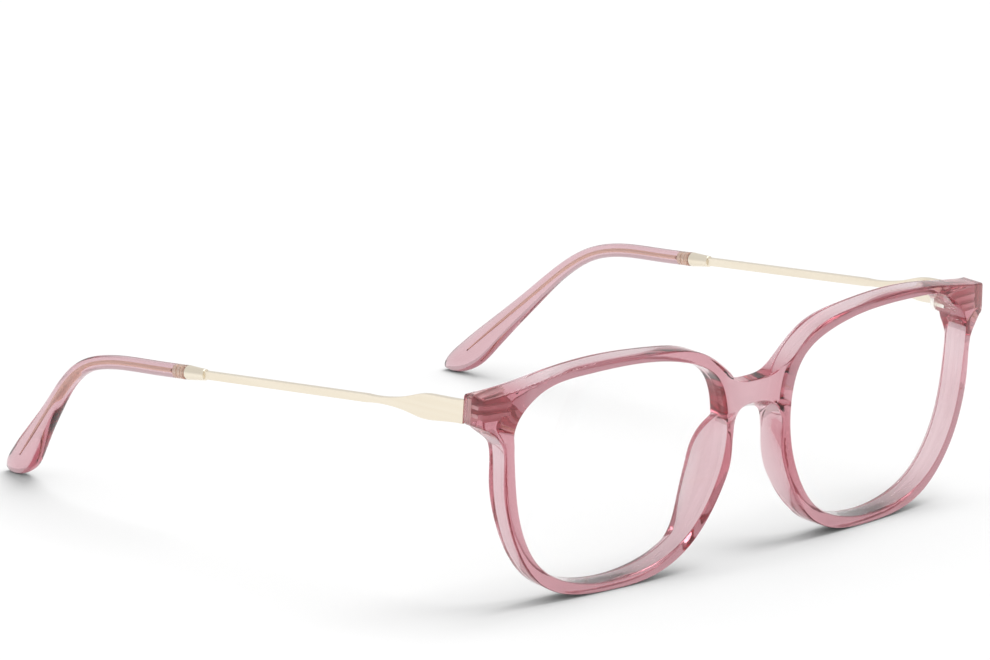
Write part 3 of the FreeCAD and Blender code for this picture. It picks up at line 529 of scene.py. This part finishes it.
@dataclass
class AcetateFront:
    """The acetate front: two rims, a hollowed bridge, pads and end pieces, from one curved sheet."""

    curve: FaceCurve = FaceCurve()
    lens_height: float = 40.0
    rim_upper: float = 1.6
    rim_lower: float = 1.9
    rim_outer: float = 2.05
    rim_nasal: float = 3.3
    end_top: float = 18.1
    end_bottom: float = 12.2
    corner: float = 0.6
    low_corner: float = 1.15
    bridge_top: float = 11.6
    bridge_under: float = 5.7
    edge: float = 0.38
    opening_edge: float = 0.22
    pad_edge: float = 1.1
    pad_full: float = 2.5
    slant: float = 1.5
    slant_span: tuple[float, float] = (-4.0, 5.2)
    slant_clear: float = 1.0
    spacing: float = 0.55
    closest: float = 0.02
    lens_shape: tuple[tuple[float, float], ...] = (
        (-1.0, 0.315), (-0.906, 0.68), (-0.569, 0.91), (-0.063, 0.995), (0.384, 0.985),
        (0.804, 0.875), (0.973, 0.66), (0.996, 0.25), (0.918, -0.285), (0.69, -0.75),
        (0.271, -0.98), (-0.259, -0.97), (-0.624, -0.785), (-0.878, -0.395))

    def rim_point(self, fx: float, fz: float, rim_x: float, rim_z: float) -> tuple[float, float]:
        """A point of the outside of the rim, beside a point of the lens shape."""
        wide, tall = self.curve.lens_width / 2 + rim_x, self.lens_height / 2 + rim_z
        return (self.curve.lens_x + fx * wide, fz * tall)

    def outline(self) -> Array:
        """The outside of the front as a closed loop, clockwise seen from the front."""
        upper, under_rim, outer, nasal = self.rim_upper, self.rim_lower, self.rim_outer, self.rim_nasal
        edge, corner, point = self.curve.half_width, self.corner, self.rim_point
        top = [(0, self.bridge_top), (4.3, self.bridge_top + 0.5), point(-0.89, 0.685, nasal, upper),
               point(-0.66, 0.885, nasal, upper), point(-0.32, 0.972, nasal, upper),
               point(0.2, 0.998, outer, upper), point(0.72, 0.93, outer, upper),
               (edge - 5.4, self.end_top + 0.85), (edge - corner, self.end_top)]
        low = [(edge - self.low_corner, self.end_bottom), (edge - 2.5, self.end_bottom - 1.2),
               point(1.015, 0.42, outer, 0), point(0.998, 0.09, outer, 0),
               point(0.955, -0.2, outer, under_rim), point(0.855, -0.5, outer, under_rim),
               point(0.58, -0.868, outer, under_rim),
               point(0.0, -1.0, outer, under_rim), point(-0.36, -0.955, nasal, under_rim),
               point(-0.62, -0.79, nasal, under_rim), point(-0.84, -0.44, nasal, under_rim),
               point(-0.93, -0.19, nasal, under_rim), point(-0.985, 0.08, nasal, 0),
               (4.2, self.bridge_under - 0.9), (0, self.bridge_under)]
        turns = np.linspace(0, math.pi / 2, 7)[1:-1]
        arc = np.column_stack([np.sin(turns), np.cos(turns)])
        upper_corner = arc * corner + (edge - corner, self.end_top - corner)
        lower = self.low_corner
        lower_corner = arc[::-1] * (lower, -lower) + (edge - lower, self.end_bottom + lower)
        side = np.array([(edge, self.end_top - corner), (edge, self.end_bottom + lower)])
        mirror = np.array([-1, 1])
        over = smooth_curve([(-x, z) for x, z in reversed(top[1:])] + top, closed=False)
        under = smooth_curve(low + [(-x, z) for x, z in reversed(low[:-1])], closed=False)
        side = evenly(side, self.spacing, closed=False)
        parts = [evenly(over, self.spacing, False), upper_corner, side, lower_corner,
                 evenly(under, self.spacing, False),
                 lower_corner[::-1] * mirror, side[::-1] * mirror, upper_corner[::-1] * mirror]
        loop = np.vstack(parts)
        keep = np.linalg.norm(loop - np.roll(loop, 1, axis=0), axis=1) > self.closest
        return loop[keep]

    def opening(self, side: Side) -> Array:
        """A lens opening as a closed loop, anticlockwise seen from the front."""
        wide, tall = self.curve.lens_width, self.lens_height
        shape = [((self.curve.lens_x + fx * wide / 2) * side.value, fz * tall / 2)
                 for fx, fz in self.lens_shape]
        loop = evenly(smooth_curve(shape, closed=True), self.spacing, closed=True)
        return loop[::-1] if side is Side.RIGHT else loop

    def rounding(self, inset: float, anchor: Anchor, count: int = 6) -> list[Ring]:
        """A quarter round from a flat face to a wall."""
        rings = []
        for step in range(count + 1):
            angle = math.pi / 2 * step / count
            rings.append(Ring(inset * (1 - math.sin(angle)), anchor, inset * (1 - math.cos(angle))))
        return rings if anchor is Anchor.FRONT else rings[::-1]

    def rings(self, front_edge: float) -> list[Ring]:
        """The rings of a wall from the front face to the back face."""
        return self.rounding(front_edge, Anchor.FRONT) + self.rounding(self.edge, Anchor.BACK)

    def arch(self, loop: Array) -> Array:
        """Where an outline runs along the slanted underside of the bridge, from 0 to 1."""
        inner = self.curve.lens_x - self.curve.lens_width / 2 - self.slant_clear
        below = loop[:, 1] < (self.bridge_top + self.bridge_under) / 2
        return smoothstep(*self.slant_span, loop[:, 1]) * below * (np.abs(loop[:, 0]) < inner)

    def ring_points(self, loop: Array, normals: Array, ring: Ring) -> tuple[Array, Array]:
        """The outline points and depths of one ring.

        Args:
            loop: The outline.
            normals: Its normals, out of the material.
            ring: Which ring.

        Returns:
            The flat points, and their depths.
        """
        inset, distance = np.full(len(loop), ring.inset), np.full(len(loop), ring.distance)
        if ring.anchor is Anchor.BACK:
            swollen = np.minimum(self.curve.pad(loop[:, 0], loop[:, 1]) / self.pad_full, 1.0)
            grown = 1 + (self.pad_edge / self.edge - 1) * swollen
            inset, distance = inset * grown, distance * grown
        if ring.anchor is Anchor.FRONT:
            inset = inset + self.slant * self.arch(loop)
        flat = loop - normals * inset[:, None]
        x, z = flat[:, 0], flat[:, 1]
        if ring.anchor is Anchor.FRONT:
            return flat, self.curve.front(x, z) + distance
        if ring.anchor is Anchor.BACK:
            return flat, self.curve.back(x, z) - distance
        return flat, self.curve.lens(x, z, 0.0) + distance

    def filled(self, mesh: bmesh.types.BMesh, loops: list[tuple[Array, list]], surface: Field,
               flip: bool) -> None:
        """Fill the flat face between rings with small triangles that follow a surface.

        Args:
            mesh: The mesh that is being built.
            loops: For each outline, its flat points and its vertices.
            surface: The depth of the face.
            flip: Whether the triangles face backwards.
        """
        borders = np.vstack([flat for flat, _ in loops])
        corners = [vertex for _, ring in loops for vertex in ring]
        low, high = borders.min(0), borders.max(0)
        columns = np.arange(low[0], high[0], self.spacing)
        rows = np.arange(low[1], high[1], self.spacing * GRID_ROW)
        grid = np.array([(x + (0.5 * self.spacing if index % 2 else 0), z)
                         for index, z in enumerate(rows) for x in columns])
        grid = grid[inside(grid, [flat for flat, _ in loops])]
        clear = np.array([np.min(np.sum((borders - point) ** 2, axis=1)) for point in grid])
        grid = grid[clear > (GRID_CLEAR * self.spacing) ** 2]
        spots = np.vstack([borders, grid])
        edges, start = [], 0
        for flat, _ in loops:
            count = len(flat)
            edges += [(start + i, start + (i + 1) % count) for i in range(count)]
            start += count
        flat_spots = [Vector(spot) for spot in spots]
        points, _, triangles, origins, *_ = delaunay_2d_cdt(flat_spots, edges, [], 0, 1e-7)
        found = np.array([tuple(p) for p in points])
        depth = surface(found[:, 0], found[:, 1])
        places = self.curve.placed(found, depth)
        vertices = []
        for index, source in enumerate(origins):
            borrowed = [s for s in source if s < len(corners)]
            vertices.append(corners[borrowed[0]] if borrowed else mesh.verts.new(places[index]))
        centres = np.array([found[list(t)].mean(0) for t in triangles])
        for triangle, shown in zip(triangles, inside(centres, [flat for flat, _ in loops])):
            picked = [vertices[i] for i in triangle]
            if shown and len(set(picked)) == 3:
                mesh.faces.new(picked[::-1] if flip else picked)

    def mesh(self) -> bpy.types.Mesh:
        """Build the front as one closed mesh."""
        built = bmesh.new()
        near, far = [], []
        outlines = [(self.outline(), False)] + [(self.opening(side), True) for side in Side]
        for loop, is_opening in outlines:
            area = np.sum(loop[:, 0] * np.roll(loop[:, 1], -1) - np.roll(loop[:, 0], -1) * loop[:, 1])
            loop = loop[::-1] if (area > 0) == is_opening else loop
            normals = outward(loop)
            rings = self.rings(self.opening_edge if is_opening else self.edge)
            made = self.wall(built, loop, normals, rings)
            near.append(made[0])
            far.append(made[-1])
        self.filled(built, near, self.curve.front, flip=False)
        self.filled(built, far, self.curve.back, flip=True)
        return self.finished(built, "front_acetate")

    def wall(self, built: bmesh.types.BMesh, loop: Array, normals: Array,
             rings: Sequence[Ring]) -> list[tuple[Array, list]]:
        """Build a wall along an outline.

        Args:
            built: The mesh that is being built.
            loop: The outline.
            normals: Its normals, out of the material.
            rings: The rings of the wall, from front to back.

        Returns:
            The flat points and the vertices of each ring.
        """
        made = []
        for ring in rings:
            flat, depth = self.ring_points(loop, normals, ring)
            made.append((flat, [built.verts.new(place) for place in self.curve.placed(flat, depth)]))
        for (_, before), (_, after) in zip(made, made[1:]):
            strip(built, before, after)
        return made

    def finished(self, built: bmesh.types.BMesh, name: str) -> bpy.types.Mesh:
        """Tilt a mesh of the face frame into its place and close it.

        Args:
            built: The mesh in face coordinates; it is freed.
            name: The name of the mesh.

        Returns:
            The mesh in metres.
        """
        places = self.curve.tilted(np.array([tuple(v.co) for v in built.verts])) + self.curve.origin()
        for vertex, place in zip(built.verts, places):
            vertex.co = Vector(place) * MM
        return closed_mesh(built, name)

    def dress(self, material: bpy.types.Material) -> bpy.types.Object:
        """Make the piece and let it stand for the front and its two pads."""
        piece = new_object("front_acetate", self.mesh(), material)
        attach(piece, "front")
        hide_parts("front_frame", "nose_pad_left", "nose_pad_right")
        return piece


@dataclass
class Lens:
    """A clear lens whose edge sits just inside the opening of the rim."""

    front: AcetateFront
    edge: float = 0.02
    ridge: float = 0.12

    def mesh(self, side: Side) -> bpy.types.Mesh:
        """Build one lens as a closed mesh."""
        curve, built = self.front.curve, bmesh.new()
        loop, depth = self.front.opening(side), self.front.curve.lens_depth
        rings = [Ring(self.edge, Anchor.LENS, 0.0), Ring(self.ridge, Anchor.LENS, depth / 2),
                 Ring(self.edge, Anchor.LENS, depth)]
        made = self.front.wall(built, loop, outward(loop), rings)
        self.front.filled(built, made[:1], lambda x, z: curve.lens(x, z, 0.0), flip=False)
        self.front.filled(built, made[-1:], lambda x, z: curve.lens(x, z, depth), flip=True)
        return self.front.finished(built, f"clear_lens_{side.word}")

    def dress(self, side: Side, material: bpy.types.Material) -> bpy.types.Object:
        """Make one lens and let it stand for the plain one."""
        piece = new_object(f"clear_lens_{side.word}", self.mesh(side), material)
        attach(piece, "front")
        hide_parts(f"lens_{side.word}")
        return piece


# ------------------------------------------------------------------ the temples
def direction(slope: float, sideways: float) -> Array:
    """A direction from its downward slope and its outward turn, both in degrees."""
    down, out = math.radians(slope), math.radians(sideways)
    return np.array([math.cos(down) * math.sin(out), math.cos(down) * math.cos(out), -math.sin(down)])


@dataclass
class TempleTip:
    """The acetate tip behind the ear. Angles are downward and outward, in degrees."""

    curve: FaceCurve = FaceCurve()
    start_size: float = 2.6
    thickness: float = 3.0
    width: float = 6.2
    squareness: float = 2.6
    bar_end: float = 75.3
    ferrule: float = 4.6
    bend_at: float = 107.75
    bend_radius: float = 25.0
    twist: float = 20.0
    twist_span: tuple[float, float] = (0.45, 0.85)
    run_angles: tuple[float, float] = (4.75, 0.9)
    drop_angles: tuple[float, float] = (42.6, -17.0)
    drop_length: float = 42.7
    above_share: float = 0.36
    metal: float = 1.1
    height: float = 15.3
    gap: float = 0.15
    around: int = 40
    along: int = 150
    crowding: float = 1.6
    per_span: int = 24

    def lines(self) -> tuple[Array, Array, Array, Array]:
        """The start of the straight run, its direction, the direction behind the ear, and the corner."""
        run, drop = direction(*self.run_angles), direction(*self.drop_angles)
        tilt = self.curve.tilt
        depth = self.curve.block_back * math.cos(tilt) - self.height * math.sin(tilt) + self.gap
        start = np.array([self.curve.half_width - self.metal / 2, depth, self.height])
        return start, run, drop, start + run * ((self.bend_at - depth) / run[1])

    def stations(self) -> Array:
        """Cross-sections of the tip: place, heading, part above and below the wire, thickness."""
        start, run, drop, corner = self.lines()
        small, wide, thick = self.start_size / 2, self.width, self.thickness
        turn = math.acos(float(run @ drop))
        cut = self.bend_radius * math.tan(turn / 2)
        first = corner - run * cut
        inward = (drop - run) / np.linalg.norm(drop - run)
        middle = corner + inward * (self.bend_radius * (1 / math.cos(turn / 2) - 1))
        mean = (run + drop) / np.linalg.norm(run + drop)
        begin = start + run * ((self.bar_end + self.ferrule - start[1]) / run[1])
        rows = [(*begin, *run, small, small, 2 * small),
                (*((begin + first) / 2), *run, small, small, 2 * small),
                (*first, *run, small, small, 2 * small + 0.05),
                (*middle, *mean, small + 0.05, small + 0.05, 2 * small + 0.2)]
        swell = [(0.24, 0.1, 0.25), (0.4, 0.2, 0.75), (0.55, 0.4, 1.35), (0.7, 0.75, 2.2)]
        for share, above, below in swell:
            place = corner + drop * self.drop_length * share
            rows.append((*place, *drop, small + above, small + below, thick))
        for step in (0.0, 0.25, 0.45, 0.62, 0.76, 0.87, 0.94, 0.98, 0.996):
            share = 0.8 + 0.2 * step
            high = self.above_share * wide
            above = high * (1 - step**5) ** 0.5
            below = (wide - high) * (1 - step**2) ** 0.5 - high * 0.55 * step**2
            place = corner + drop * self.drop_length * share
            rows.append((*place, *drop, above, below, thick * (1 - step**8) ** 0.5))
        return np.array(rows)

    def middle_line(self) -> tuple[Array, Array, Array]:
        """The line of the wire through the tip, the cross-sections, and the length travelled along it."""
        stations = self.stations()
        line = smooth_curve(stations[:, :3], closed=False, per_span=self.per_span)
        travelled = np.concatenate([[0], np.cumsum(np.linalg.norm(np.diff(line, axis=0), axis=1))])
        return line, stations, travelled

    def mesh(self, side: Side) -> bpy.types.Mesh:
        """Build one tip as a closed mesh."""
        line, stations, travelled = self.middle_line()
        knots = np.arange(len(stations))
        steps = np.arange(len(line)) / self.per_span
        shape = np.column_stack([np.interp(steps, knots, stations[:, c]) for c in range(3, 9)])
        for column in range(3, 6):
            profile = np.column_stack([knots, stations[:, 3 + column]])
            shape[:, column] = smooth_curve(profile, closed=False, per_span=self.per_span)[:, 1]
        stops = travelled[-1] * (1 - (1 - np.linspace(0, 1, self.along)) ** self.crowding)
        origin = self.curve.origin()
        power = 2 / self.squareness
        built = bmesh.new()
        previous = None
        angles = 2 * math.pi * (np.arange(self.around) + 0.5) / self.around
        across = np.sign(np.cos(angles)) * np.abs(np.cos(angles)) ** power
        tall = np.sign(np.sin(angles)) * np.abs(np.sin(angles)) ** power
        for stop in stops:
            centre = np.array([np.interp(stop, travelled, line[:, c]) for c in range(3)])
            heading = np.array([np.interp(stop, travelled, shape[:, c]) for c in range(3)])
            above, below, thick = (float(np.interp(stop, travelled, shape[:, c])) for c in range(3, 6))
            heading /= np.linalg.norm(heading)
            level = np.array([heading[1], -heading[0], 0.0])
            level /= np.linalg.norm(level)
            upward = np.cross(level, heading)
            turned = math.radians(self.twist) * float(smoothstep(*self.twist_span, stop / travelled[-1]))
            level, upward = (level * math.cos(turned) - upward * math.sin(turned),
                             upward * math.cos(turned) + level * math.sin(turned))
            middle = centre + upward * ((above - below) / 2)
            half = (above + below) / 2
            row = []
            for wide, high in zip(across, tall):
                place = (middle + level * (wide * thick / 2) + upward * (high * half) + origin) * MM
                row.append(built.verts.new((place[0] * side.value, place[1], place[2])))
            if previous:
                strip(built, previous, row)
            else:
                built.faces.new(row[::-1])
            previous = row
        built.faces.new(previous)
        return closed_mesh(built, f"acetate_tip_{side.word}")

    def dress(self, side: Side, material: bpy.types.Material) -> bpy.types.Object:
        """Make one tip and let it stand for the plain one."""
        piece = new_object(f"acetate_tip_{side.word}", self.mesh(side), material)
        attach(piece, f"temple_{side.word}")
        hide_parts(f"temple_tip_{side.word}")
        return piece


@dataclass
class TempleMetal:
    """The plated metal of one temple: the arm with softened edges, its ferrule and the core wire.

    The ferrule's shape gives, from the bar backwards, a radius and a distance.
    """

    tip: TempleTip = field(default_factory=TempleTip)
    softening: float = 0.14
    bevel_steps: int = 4
    bevel_angle: float = 40.0
    flat_angle: float = 1.0
    weld: float = 0.01
    wire: float = 0.27
    wire_end: float = 0.13
    wire_taper: float = 9.0
    wire_short: float = 6.5
    wire_from: float = 4.0
    wire_stops: int = 110
    sleeve: float = 0.66
    sleeve_end: float = 3.4
    shoulder: float = 0.25
    around: int = 32
    thinnest: float = 0.001
    ferrule_shape: tuple[tuple[float, float], ...] = (
        (0.0, 0.0), (0.9, 0.0), (1.0, 0.05), (1.05, 0.14), (1.06, 0.5), (1.08, 0.62),
        (1.33, 4.05), (1.36, 4.2), (1.36, 4.46), (1.33, 4.55), (1.25, 4.6), (0.0, 4.6))

    def tube(self, name: str, places: Array, headings: Array, radii: Array, side: Side) -> bpy.types.Mesh:
        """A round bar whose radius changes along its middle line.

        Args:
            name: The name of the mesh.
            places: The middle line.
            headings: Its direction at each place.
            radii: The radius at each place.
            side: Which temple.

        Returns:
            The mesh in metres.
        """
        built, previous = bmesh.new(), None
        angles = 2 * math.pi * np.arange(self.around) / self.around
        for place, heading, radius in zip(places, headings, radii):
            level = np.array([heading[1], -heading[0], 0.0])
            level /= np.linalg.norm(level)
            upward = np.cross(level, heading)
            around = np.outer(np.cos(angles), level) + np.outer(np.sin(angles), upward)
            ring = place + max(radius, self.thinnest) * around
            row = [built.verts.new(Vector((x * side.value, y, z)) * MM) for x, y, z in ring]
            if previous:
                strip(built, previous, row)
            else:
                built.faces.new(row)
            previous = row
        built.faces.new(previous)
        return closed_mesh(built, name)

    def ferrule(self, side: Side, material: bpy.types.Material) -> bpy.types.Object:
        """The turned cone between the bar and the acetate, closed round the flat bar."""
        start, run, _, _ = self.tip.lines()
        begin = start + run * ((self.tip.bar_end - start[1]) / run[1]) + self.tip.curve.origin()
        places = np.array([begin + run * along for _, along in self.ferrule_shape])
        radii = np.array([radius for radius, _ in self.ferrule_shape])
        headings = np.tile(run, (len(places), 1))
        mesh = self.tube(f"turned_ferrule_{side.word}", places, headings, radii, side)
        piece = new_object(f"turned_ferrule_{side.word}", mesh, material)
        even_shading(piece)
        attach(piece, f"temple_{side.word}")
        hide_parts(f"ferrule_{side.word}")
        return piece

    def core(self, side: Side, material: bpy.types.Material) -> bpy.types.Object:
        """The core wire in the acetate: a sleeve under the collar, then a thin tapering wire."""
        line, _, travelled = self.tip.middle_line()
        end = travelled[-1] - self.wire_short
        stops = np.concatenate([[0.0, self.sleeve_end, self.sleeve_end + self.shoulder],
                                np.linspace(self.wire_from, end, self.wire_stops)])
        places = np.column_stack([np.interp(stops, travelled, line[:, axis]) for axis in range(3)])
        headings = np.gradient(places, stops, axis=0)
        headings /= np.linalg.norm(headings, axis=1)[:, None]
        taper = np.interp(stops, [end - self.wire_taper, end], [self.wire, self.wire_end])
        radii = np.where(stops <= self.sleeve_end, self.sleeve, taper)
        mesh = self.tube(f"core_{side.word}", places + self.tip.curve.origin(), headings, radii, side)
        piece = new_object(f"core_{side.word}", mesh, material)
        even_shading(piece)
        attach(piece, f"temple_{side.word}")
        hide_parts(f"core_wire_{side.word}")
        return piece

    def arm(self, side: Side, material: bpy.types.Material) -> bpy.types.Object:
        """The arm of the frame with its long edges rounded."""
        source = frame["nodes"][f"temple_arm_{side.word}"].data
        built = bmesh.new()
        built.from_mesh(source)
        bmesh.ops.remove_doubles(built, verts=built.verts, dist=self.weld * MM)
        bmesh.ops.dissolve_limit(built, angle_limit=math.radians(self.flat_angle), verts=built.verts,
                                 edges=built.edges)
        mesh = bpy.data.meshes.new(f"soft_arm_{side.word}")
        built.to_mesh(mesh)
        built.free()
        piece = new_object(f"soft_arm_{side.word}", mesh, material)
        bevel = piece.modifiers.new("softened_edges", "BEVEL")
        bevel.width = self.softening * MM
        bevel.segments = self.bevel_steps
        bevel.limit_method = "ANGLE"
        bevel.angle_limit = math.radians(self.bevel_angle)
        bevel.use_clamp_overlap = True
        even_shading(piece)
        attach(piece, f"temple_{side.word}")
        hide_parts(f"temple_arm_{side.word}")
        return piece


# ------------------------------------------------------------------ carried-over nodes
def finish_nodes(finishes: dict[str, bpy.types.Material]) -> int:
    """Give the nodes of the frame their materials.

    Args:
        finishes: A material for each beginning of a node's name.

    Returns:
        How many nodes were dressed.
    """
    dressed = 0
    for name, node in frame["nodes"].items():
        for start, material in finishes.items():
            if name.startswith(start):
                node.data.materials.clear()
                node.data.materials.append(material)
                dressed += 1
    return dressed


# ------------------------------------------------------------------ the studio
@dataclass
class Studio:
    """A white floor, an even white sky, one soft light and the camera.

    The aim is how far right of and below the camera's own centre the glasses show, in shares of the width.
    """

    azimuth: float = -45.154
    elevation: float = 13.850
    roll: float = 0.709
    distance: float = 1461.3
    focal: float = 294.02
    sensor: float = 36.0
    aim: tuple[float, float] = (0.2659293, 0.1140707)
    clip: tuple[float, float] = (0.05, 50.0)
    floor_half: float = 6.0
    floor_parts: int = 8
    floor_gap: float = 0.00005
    sky: float = 0.77
    sun: float = 1.3
    sun_angle: float = 38.0
    sun_heading: tuple[float, float, float] = (-0.30, 0.13, -0.94)
    bounces: int = 24

    def camera(self, origin: Array) -> bpy.types.Object:
        """Create the camera, which sees the middle of the front surface off its own centre."""
        turn, rise, roll = (math.radians(v) for v in (self.azimuth, self.elevation, self.roll))
        back = np.array([math.sin(turn) * math.cos(rise), -math.cos(turn) * math.cos(rise), math.sin(rise)])
        flat = np.array([math.cos(turn), math.sin(turn), 0.0])
        upright = np.cross(back, flat)
        right = math.cos(roll) * flat + math.sin(roll) * upright
        up = math.cos(roll) * upright - math.sin(roll) * flat
        aside, below = (self.distance * share * self.sensor / self.focal for share in self.aim)
        place = origin + back * self.distance - right * aside + up * below
        data = bpy.data.cameras.new("camera")
        data.lens, data.sensor_width = self.focal, self.sensor
        data.clip_start, data.clip_end = self.clip
        made = bpy.data.objects.new("camera", data)
        bpy.context.scene.collection.objects.link(made)
        columns = Matrix((right, up, back)).transposed().to_4x4()
        made.matrix_world = Matrix.Translation(Vector(place) * MM) @ columns
        bpy.context.scene.camera = made
        return made

    def floor(self) -> bpy.types.Object:
        """Lay the floor just under the glasses."""
        built = bmesh.new()
        parts = self.floor_parts
        bmesh.ops.create_grid(built, x_segments=parts, y_segments=parts, size=self.floor_half)
        mesh = bpy.data.meshes.new("studio_floor")
        built.to_mesh(mesh)
        built.free()
        made = new_object("studio_floor", mesh, StudioFloor().material())
        made.location.z = -self.floor_gap
        return made

    def lights(self) -> None:
        """An even sky, and one large soft light from above."""
        world = bpy.data.worlds.new("sky")
        world.use_nodes = True
        background = world.node_tree.nodes["Background"]
        background.inputs["Color"].default_value = (1, 1, 1, 1)
        background.inputs["Strength"].default_value = self.sky
        paths = bpy.context.scene.cycles
        paths.max_bounces = paths.transmission_bounces = paths.glossy_bounces = self.bounces
        paths.caustics_refractive = False
        bpy.context.scene.world = world
        sun = bpy.data.lights.new("overhead", "SUN")
        sun.energy = self.sun
        sun.angle = math.radians(self.sun_angle)
        made = bpy.data.objects.new("overhead", sun)
        bpy.context.scene.collection.objects.link(made)
        made.rotation_euler = Vector(self.sun_heading).to_track_quat("-Z", "Y").to_euler()


def save_sizes() -> None:
    """Bring the scene up to date."""
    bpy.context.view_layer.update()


def main() -> None:
    """Dress the frame and set the studio."""
    logging.basicConfig(level=logging.INFO, format="%(name)s: %(message)s")
    bpy.context.scene.view_settings.view_transform = "Standard"
    acetate, champagne = ACETATE.material(), CHAMPAGNE.material()
    front = AcetateFront().dress(acetate)
    log.info("%s: %d faces", front.name, len(front.data.polygons))
    clear, warm = LENS.material(), CORE_GOLD.material()
    metal = TempleMetal()
    for side in Side:
        made = [Lens(AcetateFront()).dress(side, clear), metal.tip.dress(side, acetate),
                metal.arm(side, champagne), metal.ferrule(side, champagne), metal.core(side, warm)]
        for piece in made:
            log.info("%s: %d faces", piece.name, len(piece.data.polygons))
    # The hinge plates take the lightened plating, which is painted light.
    finishes = {"lens_": clear, "hinge_front": HINGE_LIT_GOLD.material(), "hinge_temple": champagne,
                "hinge_screw": STEEL.material(), "temple_arm": champagne, "core_": warm,
                "ferrule": champagne, "front_frame": acetate, "nose_pad": acetate, "temple_tip": acetate}
    log.info("%d nodes dressed", finish_nodes(finishes))
    studio = Studio()
    studio.floor()
    studio.lights()
    studio.camera(FaceCurve().origin())
    save_sizes()


if __name__ == "__main__":
    main()
